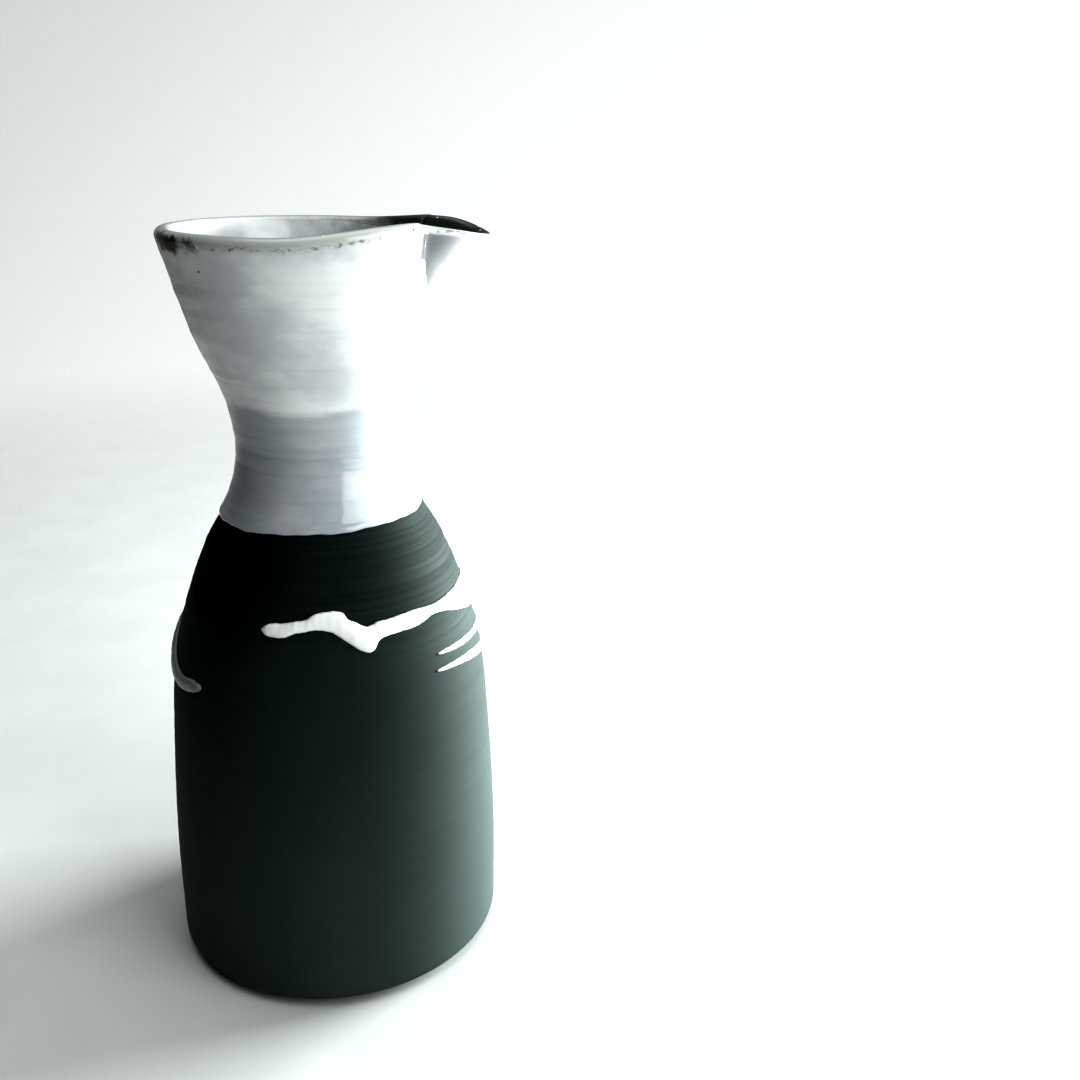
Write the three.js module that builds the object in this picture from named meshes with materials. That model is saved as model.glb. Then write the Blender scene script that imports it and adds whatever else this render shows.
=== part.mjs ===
// A wheel-thrown stoneware sake bottle: a dark unglazed body with a pulled pouring lip, a white glaze dipped
// over its neck, a white liner glaze inside it, and raised white slip trailed round its shoulder.
// Millimetres, +Z up. The origin is the centre of the flat foot, and the pouring lip points along +X.
import * as THREE from "three";

// ---- Clay wall: its outside as [height, radius] stations, from the top of the foot's edge to the lip ----
const OUTSIDE = [
  [4.2, 41.6],
  [30, 41.5],
  [60, 39.9],
  [80, 37.9],
  [94, 34.1],
  [108, 28.6],
  [120, 21.9],
  [131, 19.4],
  [144, 21.3],
  [158, 27.0],
  [179.6, 33.2],
];
const FOOT_TOP = OUTSIDE[0][0];
const LIP_HEIGHT = OUTSIDE[OUTSIDE.length - 1][0];
const FOOT_RADIUS = 34;
const FLOOR_THICKNESS = 6;
const FLOOR_CORNER = 11;
const WALL_AT_FOOT = 4.2;
const WALL_AT_LIP = 2.2;

// ---- Pouring lip: pulled out over +X, with a finger's pinch and a raised shoulder on each side of it ----
const POUR_REACH = 6.9;
const POUR_SHARPNESS = 3;
const POUR_HALF_ANGLE = 15;
const POUR_ROOT_HEIGHT = 144;
const POUR_TIP_DROP = 1.0;
const PINCH_DEPTH = 3.4;
const PINCH_ANGLE = 26;
const PINCH_HALF_ANGLE = 8;
const PINCH_ROOT_HEIGHT = 160;
const SHOULDER_RISE = { near: 2.5, far: 2.0 };
const SHOULDER_ANGLE = { near: 40, far: 20 };
const SHOULDER_SPREAD = 58;
const SHOULDER_ROOT_HEIGHT = 160;

// ---- The mouth is a little out of level: it rises towards this azimuth ----
const MOUTH_RISE = 0.75;
const MOUTH_RISE_AZIMUTH = 100;

// ---- Glaze and slip: thin coats that stand a hair's gap off the clay ----
const GAP = 0.3;
const GLAZE = 0.4;
const GLAZE_LINE_HEIGHT = 115.6;
const GLAZE_LINE_SLOPE = 0.032;
const GLAZE_LINE_BAND = 8;
const SLIP_THICKNESS = 0.9;
const SLIP_EDGE_THICKNESS = 0.35;

// ---- Facets ----
const SIDES = 48;
const SHOULDER_HEIGHT = 84;
const BODY_RING_SPACING = 13;
const NECK_RING_SPACING = 6.5;
const SMALLEST_RING_SPACING = 2;
const RINGS_UP_TO_LINER_TOP = 13;
const LINER_TOP_HEIGHT = SHOULDER_HEIGHT + RINGS_UP_TO_LINER_TOP * NECK_RING_SPACING;
const LIP_STEPS = 5;
const CORNER_STEPS = 5;
const SLIP_STEP_DEGREES = 4.5;
const SLIP_ROWS = 4;
const SLOPE_PROBE = 0.01;
const ON_AXIS_RADIUS = 1e-6;

// Slip trails as [azimuth in degrees, lower edge, upper edge] stations. Azimuth 0 is under the pouring lip.
const SLIP_TRAILS = {
  slip_trail_front: [
    [-107, 95.7, 96.5],
    [-103, 94.7, 97.5],
    [-96, 95.2, 98.1],
    [-89, 96.1, 98.6],
    [-82, 96.1, 100.2],
    [-75, 93.8, 99.7],
    [-70, 91.8, 97.4],
    [-66, 90.8, 96.4],
    [-61, 93.0, 96.8],
    [-50, 93.6, 97.2],
    [-35, 94.6, 97.0],
    [-20, 92.8, 97.3],
    [0, 89.6, 97.4],
    [20, 88.2, 95.6],
    [42, 87.6, 92.6],
    [62, 87.0, 89.0],
    [72, 86.4, 87.0],
  ],
  slip_trail_right_upper: [
    [-38, 85.6, 86.2],
    [-24, 84.6, 86.1],
    [-8, 83.9, 85.5],
    [10, 82.0, 84.2],
    [32, 79.8, 82.2],
    [50, 78.6, 80.4],
    [62, 78.0, 78.6],
  ],
  slip_trail_right_lower: [
    [-40, 81.9, 82.5],
    [-26, 80.7, 82.3],
    [-12, 79.0, 81.3],
    [6, 76.7, 78.7],
    [26, 74.2, 76.4],
    [44, 73.0, 74.6],
    [56, 72.6, 73.2],
  ],
  slip_trail_left: [
    [-132, 78.8, 80.2],
    [-138, 77.2, 80.4],
    [-147, 76.3, 79.6],
    [-156, 76.7, 80.8],
    [-166, 79.2, 83.4],
    [-180, 83.2, 87.0],
    [-196, 87.0, 90.4],
    [-212, 90.0, 92.6],
    [-226, 91.8, 92.6],
  ],
};

// A smooth curve through stations [position, value], with each station's slope taken from its neighbours.
function smoothThrough(stations) {
  const last = stations.length - 1;
  const slopes = stations.map((_, i) => {
    const before = stations[Math.max(i - 1, 0)];
    const after = stations[Math.min(i + 1, last)];
    return (after[1] - before[1]) / (after[0] - before[0]);
  });
  return (position) => {
    let i = 0;
    while (i < last - 1 && position > stations[i + 1][0]) i += 1;
    const span = stations[i + 1][0] - stations[i][0];
    const t = (position - stations[i][0]) / span;
    const startWeight = 2 * t ** 3 - 3 * t ** 2 + 1;
    const startSlopeWeight = (t ** 3 - 2 * t ** 2 + t) * span;
    const endSlopeWeight = (t ** 3 - t ** 2) * span;
    return (
      startWeight * stations[i][1] +
      startSlopeWeight * slopes[i] +
      (1 - startWeight) * stations[i + 1][1] +
      endSlopeWeight * slopes[i + 1]
    );
  };
}

const outsideRadius = smoothThrough(OUTSIDE);

// The wall thins evenly from the foot to the lip.
function wallThickness(height) {
  return THREE.MathUtils.mapLinear(height, FOOT_TOP, LIP_HEIGHT, WALL_AT_FOOT, WALL_AT_LIP);
}

// The point [radius, height] that stands off the clay's outside by a distance along the surface's normal.
function offOutside(height, distance) {
  const above = outsideRadius(height + SLOPE_PROBE);
  const below = outsideRadius(height - SLOPE_PROBE);
  const slope = (above - below) / (2 * SLOPE_PROBE);
  const length = Math.hypot(1, slope);
  return new THREE.Vector2(outsideRadius(height) + distance / length, height - (distance * slope) / length);
}

// The point that stands off the clay's inside, into the hollow.
function offInside(height, distance) {
  return offOutside(height, -wallThickness(height) - distance);
}

// Every coat has its facet rings at the clay's heights, wider apart on the straight body than on the neck.
function ringHeights(low, high) {
  const heights = [low];
  let height = SHOULDER_HEIGHT - BODY_RING_SPACING * Math.floor(SHOULDER_HEIGHT / BODY_RING_SPACING);
  while (height < high - SMALLEST_RING_SPACING) {
    if (height > low + SMALLEST_RING_SPACING) heights.push(height);
    height += height < SHOULDER_HEIGHT ? BODY_RING_SPACING : NECK_RING_SPACING;
  }
  return [...heights, high];
}

// The rounded lip, from the outside over to the inside, standing off the clay's half-round edge.
function lipArc(distance) {
  const outer = offOutside(LIP_HEIGHT, 0);
  const inner = offInside(LIP_HEIGHT, 0);
  const centre = outer.clone().add(inner).multiplyScalar(0.5);
  const start = outer.clone().sub(centre);
  const radius = start.length() + distance;
  return Array.from({ length: LIP_STEPS - 1 }, (_, i) => {
    const angle = start.angle() + (Math.PI * (i + 1)) / LIP_STEPS;
    return new THREE.Vector2(centre.x + radius * Math.cos(angle), centre.y + radius * Math.sin(angle));
  });
}

// A quarter ellipse from a level [radius, height] out and up to a wall point.
function cornerArc(level, wall) {
  return Array.from({ length: CORNER_STEPS }, (_, i) => {
    const angle = (Math.PI / 2) * (i / CORNER_STEPS);
    return new THREE.Vector2(
      level.x + (wall.x - level.x) * Math.sin(angle),
      wall.y - (wall.y - level.y) * Math.cos(angle),
    );
  });
}

// 0 below low, 1 above high, and a smooth step between them.
function rise(value, low, high) {
  return THREE.MathUtils.smoothstep(value, low, high);
}

// A bell of height 1 that has faded to a third at its half width.
function bell(distance, halfWidth) {
  return Math.exp(-((distance / halfWidth) ** 2));
}

// How far the pouring lip moves a point of the plain turned shape outwards: pulled out over +X, and pinched in
// on both sides of the pull.
function pourOut(side, height) {
  const climbed = Math.max(0, (height - POUR_ROOT_HEIGHT) / (LIP_HEIGHT - POUR_ROOT_HEIGHT));
  const pull = POUR_REACH * bell(side, POUR_HALF_ANGLE) * climbed ** POUR_SHARPNESS;
  const pinch = PINCH_DEPTH * bell(side - PINCH_ANGLE, PINCH_HALF_ANGLE);
  return pull - pinch * rise(height, PINCH_ROOT_HEIGHT, LIP_HEIGHT);
}

// How far the mouth's edge is raised or lowered at an azimuth in degrees: the shoulders beside the pouring lip,
// the dip at its tip, and the mouth's own slight tilt.
function mouthRise(azimuth) {
  const side = Math.abs(azimuth);
  const hand = azimuth < 0 ? "near" : "far";
  const peak = SHOULDER_ANGLE[hand];
  const shoulder = rise(side, 0, peak) - rise(side, peak, peak + SHOULDER_SPREAD);
  const tip = POUR_TIP_DROP * bell(side, POUR_HALF_ANGLE);
  const tilt = MOUTH_RISE * Math.cos(THREE.MathUtils.degToRad(azimuth - MOUTH_RISE_AZIMUTH));
  return SHOULDER_RISE[hand] * shoulder - tip + tilt;
}

// Splits each facet along the same diagonal where the outline climbs and where it falls, so that coats lying
// over each other stay parallel where the pouring lip twists them.
function alignDiagonals(geometry, outline) {
  const rows = outline.length;
  const triangles = [];
  for (let side = 0; side < SIDES; side += 1) {
    for (let row = 0; row < rows - 1; row += 1) {
      const here = row + side * rows;
      const beside = here + rows;
      const climbs = outline[row + 1].y > outline[row].y;
      triangles.push(here, beside, climbs ? here + 1 : beside + 1);
      triangles.push(beside + 1, here + 1, climbs ? beside : here);
    }
  }
  geometry.setIndex(triangles);
}

// Turns a closed [radius, height] outline round Z, then pulls the pouring lip out of it.
function thrownShape(outline) {
  const geometry = new THREE.LatheGeometry(outline, SIDES).rotateX(Math.PI / 2);
  alignDiagonals(geometry, outline);
  const position = geometry.attributes.position;
  for (let i = 0; i < position.count; i += 1) {
    const radius = Math.hypot(position.getX(i), position.getY(i));
    const azimuth = Math.atan2(position.getY(i), position.getX(i));
    const degrees = THREE.MathUtils.radToDeg(azimuth);
    const height = position.getZ(i);
    const reached = radius < ON_AXIS_RADIUS ? 0 : radius + pourOut(Math.abs(degrees), height);
    const raised = height + mouthRise(degrees) * rise(height, SHOULDER_ROOT_HEIGHT, LIP_HEIGHT);
    position.setXYZ(i, reached * Math.cos(azimuth), reached * Math.sin(azimuth), raised);
  }
  return geometry;
}

// The bare clay: a flat foot, the wall up to the half-round lip, and the inside down to the floor.
function clayBody() {
  const wallFoot = FLOOR_THICKNESS + FLOOR_CORNER;
  const insideCorner = offInside(wallFoot, 0);
  const floorEdge = new THREE.Vector2(insideCorner.x - FLOOR_CORNER, FLOOR_THICKNESS);
  return thrownShape([
    new THREE.Vector2(0, 0),
    ...cornerArc(new THREE.Vector2(FOOT_RADIUS, 0), offOutside(FOOT_TOP, 0)),
    ...ringHeights(FOOT_TOP, LIP_HEIGHT).map((height) => offOutside(height, 0)),
    ...lipArc(0),
    ...ringHeights(wallFoot, LIP_HEIGHT).reverse().map((height) => offInside(height, 0)),
    ...cornerArc(floorEdge, insideCorner).reverse(),
    new THREE.Vector2(0, FLOOR_THICKNESS),
  ]);
}

// The neck's glaze: up the outside from the glaze line, over the lip and a little way down the inside.
function neckGlaze() {
  const outside = ringHeights(GLAZE_LINE_HEIGHT, LIP_HEIGHT);
  const inside = ringHeights(LINER_TOP_HEIGHT, LIP_HEIGHT).reverse();
  const outline = [
    ...outside.map((height) => offOutside(height, GAP + GLAZE)),
    ...lipArc(GAP + GLAZE),
    ...inside.map((height) => offInside(height, GAP + GLAZE)),
    ...inside.reverse().map((height) => offInside(height, GAP)),
    ...lipArc(GAP).reverse(),
    ...outside.reverse().map((height) => offOutside(height, GAP)),
  ];
  outline.push(outline[0].clone());
  return tiltGlazeLine(thrownShape(outline));
}

// The bottle was dipped a little askew, so the glaze line climbs towards the pouring lip.
function tiltGlazeLine(geometry) {
  const position = geometry.attributes.position;
  for (let i = 0; i < position.count; i += 1) {
    const height = position.getZ(i);
    const hold = 1 - rise(height, GLAZE_LINE_HEIGHT, GLAZE_LINE_HEIGHT + GLAZE_LINE_BAND);
    const moved = height + GLAZE_LINE_SLOPE * position.getX(i) * hold;
    const radius = Math.hypot(position.getX(i), position.getY(i));
    const scale = (radius + outsideRadius(moved) - outsideRadius(height)) / radius;
    position.setXYZ(i, position.getX(i) * scale, position.getY(i) * scale, moved);
  }
  return geometry;
}

// The liner glaze: a thin cup from under the neck glaze's inner edge down over the floor.
function linerGlaze() {
  const wallFoot = FLOOR_THICKNESS + FLOOR_CORNER;
  const heights = ringHeights(wallFoot, LINER_TOP_HEIGHT - GAP);
  const floorRadius = offInside(wallFoot, 0).x - FLOOR_CORNER;
  const layer = (distance) => {
    const wall = heights.map((height) => offInside(height, distance));
    const floorEdge = new THREE.Vector2(floorRadius, FLOOR_THICKNESS + distance);
    return [new THREE.Vector2(0, floorEdge.y), ...cornerArc(floorEdge, wall[0]), ...wall];
  };
  return thrownShape([...layer(GAP), ...layer(GAP + GLAZE).reverse()]);
}

// A raised trail of slip: a box's grid laid along its stations and domed across its width.
function slipTrail(stations) {
  const first = stations[0][0];
  const span = stations[stations.length - 1][0] - first;
  const along = stations.map(([azimuth, low, high]) => [Math.abs(azimuth - first), low, high]);
  const lowEdge = smoothThrough(along.map(([distance, low]) => [distance, low]));
  const highEdge = smoothThrough(along.map(([distance, , high]) => [distance, high]));
  const steps = Math.round(Math.abs(span) / SLIP_STEP_DEGREES);
  const geometry = new THREE.BoxGeometry(1, 1, 1, steps, SLIP_ROWS, 1);
  const position = geometry.attributes.position;
  for (let i = 0; i < position.count; i += 1) {
    const distance = (position.getX(i) + 0.5) * Math.abs(span);
    const across = position.getY(i);
    const dome = Math.sqrt(1 - (2 * across) ** 2);
    const thickness = THREE.MathUtils.lerp(SLIP_EDGE_THICKNESS, SLIP_THICKNESS, dome);
    const standOff = GAP + (position.getZ(i) > 0 ? thickness : 0);
    const height = THREE.MathUtils.lerp(lowEdge(distance), highEdge(distance), across + 0.5);
    const point = offOutside(height, standOff);
    const azimuth = THREE.MathUtils.degToRad(first + Math.sign(span) * distance);
    position.setXYZ(i, point.x * Math.cos(azimuth), point.x * Math.sin(azimuth), point.y);
  }
  if (span < 0) flipFaces(geometry);
  return geometry;
}

// A trail laid clockwise mirrors the box's grid, so its triangles are turned to face out again.
function flipFaces(geometry) {
  const index = geometry.index;
  for (let i = 0; i < index.count; i += 3) {
    const second = index.getX(i + 1);
    index.setX(i + 1, index.getX(i + 2));
    index.setX(i + 2, second);
  }
}

function material(color, roughness) {
  return new THREE.MeshStandardMaterial({ color, roughness, metalness: 0 });
}

function part(name, geometry, surface) {
  geometry.computeVertexNormals();
  const mesh = new THREE.Mesh(geometry, surface);
  mesh.name = name;
  return mesh;
}

const darkStoneware = material(0x1d2624, 0.6);
const whiteGlaze = material(0xe6e8ea, 0.15);
const whiteSlip = material(0xf2f4f4, 0.3);

const bottle = new THREE.Group();
bottle.add(
  part("clay_body", clayBody(), darkStoneware),
  part("neck_glaze", neckGlaze(), whiteGlaze),
  part("liner_glaze", linerGlaze(), whiteGlaze),
  ...Object.entries(SLIP_TRAILS).map(([name, stations]) => part(name, slipTrail(stations), whiteSlip)),
);

export default bottle;
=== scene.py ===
"""The looks of a wheel-thrown stoneware sake bottle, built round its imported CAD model.

Every piece is a fine mesh of the CAD shape with what the wheel, the glaze and the slip left on it: throwing
rings, the glaze's rolled edge, its thin break over the lip, and the slip's drip. The pot's own numbers are
millimetres and degrees, with azimuth 0 under the pouring lip. Materials, stage and lights are in metres.
"""
import math

import bpy
import numpy as np
from mathutils import Matrix, Vector


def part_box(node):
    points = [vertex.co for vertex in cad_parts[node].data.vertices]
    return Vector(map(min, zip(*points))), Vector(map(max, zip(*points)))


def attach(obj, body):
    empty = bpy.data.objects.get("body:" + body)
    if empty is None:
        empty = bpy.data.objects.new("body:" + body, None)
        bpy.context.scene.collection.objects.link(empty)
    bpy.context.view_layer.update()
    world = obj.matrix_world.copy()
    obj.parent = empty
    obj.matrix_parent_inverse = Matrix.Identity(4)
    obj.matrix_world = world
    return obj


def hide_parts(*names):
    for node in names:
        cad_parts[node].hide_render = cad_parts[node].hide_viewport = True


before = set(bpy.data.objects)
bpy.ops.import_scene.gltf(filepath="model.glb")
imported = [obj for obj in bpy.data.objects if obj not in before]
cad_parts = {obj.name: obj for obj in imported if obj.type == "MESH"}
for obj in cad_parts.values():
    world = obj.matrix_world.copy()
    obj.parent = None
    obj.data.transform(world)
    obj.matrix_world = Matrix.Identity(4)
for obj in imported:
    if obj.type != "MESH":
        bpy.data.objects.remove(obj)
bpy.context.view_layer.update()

# ---- The design's millimetre, taken from how far the packed clay body reaches ----
CLAY_RADIUS_MM = 41.64
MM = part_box("clay_body")[1].x / CLAY_RADIUS_MM

# ---- Clay wall: its outside as (height, radius) stations ----
OUTSIDE = (
    (4.2, 41.6),
    (30, 41.5),
    (60, 39.9),
    (80, 37.9),
    (94, 34.1),
    (108, 28.6),
    (120, 21.9),
    (131, 19.4),
    (144, 21.3),
    (158, 27.0),
    (179.6, 33.2),
)
FOOT_TOP = OUTSIDE[0][0]
LIP_HEIGHT = OUTSIDE[-1][0]
FOOT_RADIUS = 34
FLOOR_THICKNESS = 6
FLOOR_CORNER = 11
WALL_FOOT = FLOOR_THICKNESS + FLOOR_CORNER
WALL_AT_FOOT = 4.2
WALL_AT_LIP = 2.2

# ---- Pouring lip, with a pinch and a raised shoulder on each side of it ----
POUR_REACH = 6.9
POUR_SHARPNESS = 3
POUR_HALF_ANGLE = 15
POUR_ROOT_HEIGHT = 144
POUR_TIP_DROP = 1.0
PINCH_DEPTH = 3.4
PINCH_ANGLE = 26
PINCH_HALF_ANGLE = 8
PINCH_ROOT_HEIGHT = 160
SHOULDER_RISE_NEAR = 2.5
SHOULDER_RISE_FAR = 2.0
SHOULDER_ANGLE_NEAR = 40
SHOULDER_ANGLE_FAR = 20
SHOULDER_SPREAD = 58
SHOULDER_ROOT_HEIGHT = 160

# ---- The mouth is a little out of level: it rises towards this azimuth ----
MOUTH_RISE = 0.75
MOUTH_RISE_AZIMUTH = 100

# ---- Glaze ----
GLAZE = 0.6
GLAZE_SINK = 0.15
GLAZE_LINE_HEIGHT = 115.6
GLAZE_LINE_SLOPE = 0.032
LINER_GLAZE = 0.45
LINER_TOP_HEIGHT = 168.5
LINER_TOP_GAP = 0.05

# ---- Slip trails as (azimuth, lower edge, upper edge) stations ----
SLIP_TRAILS = {
    "slip_trail_front": (
        (-107, 95.6, 96.5),
        (-104, 94.8, 97.4),
        (-98, 94.6, 97.8),
        (-94, 95.5, 98.2),
        (-89, 96.1, 98.7),
        (-86, 96.3, 99.8),
        (-80, 95.8, 100.2),
        (-75, 93.8, 99.8),
        (-73, 92.9, 98.3),
        (-70, 91.5, 97.4),
        (-66.5, 90.5, 96.3),
        (-64.4, 90.9, 96.4),
        (-62, 92.8, 96.8),
        (-58, 93.4, 97.0),
        (-44, 93.8, 97.4),
        (-36, 94.8, 97.0),
        (-28, 94.1, 97.1),
        (-18, 92.3, 97.4),
        (0, 89.6, 97.6),
        (20, 88.2, 95.6),
        (42, 87.6, 92.6),
        (62, 87.0, 89.0),
        (72, 86.4, 87.0),
    ),
    "slip_trail_right_upper": (
        (-38, 85.6, 86.2),
        (-24, 84.6, 86.1),
        (-8, 83.9, 85.5),
        (10, 82.0, 84.2),
        (32, 79.8, 82.2),
        (50, 78.6, 80.4),
        (62, 78.0, 78.6),
    ),
    "slip_trail_right_lower": (
        (-40, 81.9, 82.5),
        (-26, 80.7, 82.3),
        (-12, 79.0, 81.3),
        (6, 76.7, 78.7),
        (26, 74.2, 76.4),
        (44, 73.0, 74.6),
        (56, 72.6, 73.2),
    ),
    "slip_trail_left": (
        (-226, 91.8, 92.6),
        (-212, 90.0, 92.6),
        (-196, 87.0, 90.4),
        (-180, 83.2, 87.0),
        (-166, 79.2, 83.4),
        (-156, 76.7, 80.8),
        (-147, 76.3, 79.6),
        (-138, 77.2, 80.4),
        (-132, 78.8, 80.2),
    ),
}
SLIP_THICKNESS = 1.1
# Painted shade on the left trail, on the shaded side: how far it is darkened towards the clay's colour. The
# others are not darkened.
SLIP_SHADE_AMOUNT = {"slip_trail_left": 0.72}

# ---- Mesh fineness ----
COLUMNS = 288
ROW_STEP = 0.4
INSIDE_STEP = 3
HIDDEN_STEP = 2
LIP_ROWS = 24
CORNER_ROWS = 14
FOOT_ROWS = 8
FLOOR_ROWS = 6
# Flat stretches start this far from the axis, and stop this far short of a corner.
FLAT_MARGIN = 1
SLOPE_PROBE = 0.01


# ============================================================ shape ====


def smooth_through(stations):
    """A smooth curve through (position, value) stations; each slope comes from the station's neighbours."""
    at, value = np.array(stations, float).T
    slope = np.gradient(value)
    slope[1:-1] = (value[2:] - value[:-2]) / (at[2:] - at[:-2])
    slope[0] = (value[1] - value[0]) / (at[1] - at[0])
    slope[-1] = (value[-1] - value[-2]) / (at[-1] - at[-2])

    def curve(position):
        i = np.clip(np.searchsorted(at, position, side="right") - 1, 0, len(at) - 2)
        span = at[i + 1] - at[i]
        t = (position - at[i]) / span
        start = 2 * t**3 - 3 * t**2 + 1
        start_slope = (t**3 - 2 * t**2 + t) * span
        end_slope = (t**3 - t**2) * span
        levels = start * value[i] + (1 - start) * value[i + 1]
        return levels + start_slope * slope[i] + end_slope * slope[i + 1]

    return curve


outside_radius = smooth_through(OUTSIDE)


def smooth_step(value, low, high):
    """0 below low, 1 above high, and a smooth step between them."""
    t = np.clip((value - low) / (high - low), 0, 1)
    return t * t * (3 - 2 * t)


def bell(distance, half_width):
    """1 in the middle, and about a third at the half width."""
    return np.exp(-((distance / half_width) ** 2))


def wall_thickness(height):
    share = (height - FOOT_TOP) / (LIP_HEIGHT - FOOT_TOP)
    return WALL_AT_FOOT + (WALL_AT_LIP - WALL_AT_FOOT) * share


def off_outside(height, distance):
    """(radius, height) of points that stand off the clay's outside along its normal."""
    height = np.asarray(height, float)
    rise = outside_radius(height + SLOPE_PROBE) - outside_radius(height - SLOPE_PROBE)
    slope = rise / (2 * SLOPE_PROBE)
    length = np.hypot(1, slope)
    return np.stack([outside_radius(height) + distance / length, height - distance * slope / length], -1)


def off_inside(height, distance):
    """(radius, height) of points that stand off the clay's inside, into the hollow."""
    return off_outside(height, -wall_thickness(np.asarray(height, float)) - distance)


def heights(start, end, step=ROW_STEP):
    return np.linspace(start, end, max(2, round(abs(end - start) / step) + 1))


def lip_arc(distance):
    """The half-round lip from the outside over to the inside."""
    outer, inner = off_outside(LIP_HEIGHT, 0), off_inside(LIP_HEIGHT, 0)
    centre = (outer + inner) / 2
    start = outer - centre
    angle = math.atan2(start[1], start[0]) + np.linspace(0, math.pi, LIP_ROWS + 1)[1:-1]
    radius = np.hypot(*start) + distance
    return np.stack([centre[0] + radius * np.cos(angle), centre[1] + radius * np.sin(angle)], -1)


def corner_arc(level, wall):
    """A quarter ellipse from a level (radius, height) out and up to a wall point."""
    angle = np.linspace(0, math.pi / 2, CORNER_ROWS + 1)[:-1]
    radius = level[0] + (wall[0] - level[0]) * np.sin(angle)
    height = wall[1] - (wall[1] - level[1]) * np.cos(angle)
    return np.stack([radius, height], -1)


def flat_stretch(start, end, height, rows):
    """A level stretch of outline from one radius to another."""
    return np.stack([np.linspace(start, end, rows), np.full(rows, height)], -1)


def pour_out(side, height):
    """How far the pouring lip stands out at an angle from its middle: the pull, less the pinch beside it."""
    climbed = np.clip((height - POUR_ROOT_HEIGHT) / (LIP_HEIGHT - POUR_ROOT_HEIGHT), 0, None)
    pull = POUR_REACH * bell(side, POUR_HALF_ANGLE) * climbed**POUR_SHARPNESS
    pinch = PINCH_DEPTH * bell(side - PINCH_ANGLE, PINCH_HALF_ANGLE)
    return pull - pinch * smooth_step(height, PINCH_ROOT_HEIGHT, LIP_HEIGHT)


def mouth_rise(azimuth):
    """How far the mouth's edge is raised: a shoulder beside the pour, a dip at its tip, and the tilt."""
    side = np.abs(azimuth)
    peak = np.where(azimuth < 0, SHOULDER_ANGLE_NEAR, SHOULDER_ANGLE_FAR)
    climb = smooth_step(side, 0, peak)
    fall = smooth_step(side, peak, peak + SHOULDER_SPREAD)
    shoulder = np.where(azimuth < 0, SHOULDER_RISE_NEAR, SHOULDER_RISE_FAR) * (climb - fall)
    tip = POUR_TIP_DROP * bell(side, POUR_HALF_ANGLE)
    tilt = MOUTH_RISE * np.cos(np.radians(azimuth - MOUTH_RISE_AZIMUTH))
    return shoulder - tip + tilt


# ================================================ what the wheel left ====

# Rings as (wavelength, phase, size).
RNG = np.random.default_rng(7)
RINGS = tuple(zip(RNG.uniform(0.9, 3.2, 14), RNG.uniform(0, 2 * math.pi, 14), RNG.uniform(-1, 1, 14)))
BROAD_RINGS = tuple(zip(RNG.uniform(4, 11, 6), RNG.uniform(0, 2 * math.pi, 6), RNG.uniform(-1, 1, 6)))
RING_SIZE = 0.035
BROAD_RING_SIZE = 0.07
RIPPLE_SIZE = 0.015
BROAD_RIPPLE_SIZE = 0.09
# The rings are stronger on the shoulder, which starts and is full at these heights.
SHOULDER_FOOT, SHOULDER_FULL = 82, 96
# Grooves on the shoulder as (height, depth, half width).
GROOVES = (
    (114.2, 0.10, 0.25),
    (113.2, 0.08, 0.25),
    (108.9, 0.10, 0.35),
    (106.8, 0.26, 0.40),
    (105.7, 0.16, 0.30),
    (103.0, 0.10, 0.45),
    (101.2, 0.08, 0.30),
    (99.0, 0.20, 0.45),
    (97.9, 0.10, 0.30),
    (91.6, 0.18, 0.90),
)
# Where the flare begins the glaze has a ridge over a fine line, as (height, rise, half width).
FLARE_MARKS = (
    (150.2, 0.06, 1.0),
    (149.2, -0.10, 0.4),
)


def waves(position, terms):
    """A sum of sines along a position, from (wavelength, phase, size) terms."""
    total = 0
    for wavelength, phase, size in terms:
        total = total + size * np.sin(2 * math.pi * position / wavelength + phase)
    return total / len(terms) ** 0.5


def throwing_rings(azimuth, height):
    """How far the clay stands out over the plain profile."""
    turn = np.radians(azimuth)
    level = height + 0.25 * np.cos(turn - 0.6)
    on_shoulder = smooth_step(height, SHOULDER_FOOT, SHOULDER_FULL)
    strength = 0.75 + 0.25 * np.sin(turn + 0.07 * height)
    fine = RING_SIZE * waves(level, RINGS) * strength * (0.35 + 0.65 * on_shoulder)
    broad = BROAD_RING_SIZE * waves(level, BROAD_RINGS) * (0.5 + 0.5 * on_shoulder)
    grooves = 0
    for centre, depth, half_width in GROOVES:
        grooves = grooves - depth * bell(level - centre, half_width) * strength
    return fine + broad + grooves


def glaze_ripples(azimuth, height):
    """The same rings softened by the glaze, with the ridge where the flare begins."""
    level = height + 0.3 * np.cos(np.radians(azimuth) + 1.0)
    ripples = BROAD_RIPPLE_SIZE * waves(level, BROAD_RINGS) + RIPPLE_SIZE * waves(level, RINGS)
    for centre, rise, half_width in FLARE_MARKS:
        ripples = ripples + rise * bell(level - centre, half_width)
    return ripples


# ============================================================= meshes ====

AZIMUTHS = np.linspace(-180, 180, COLUMNS, endpoint=False)


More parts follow.
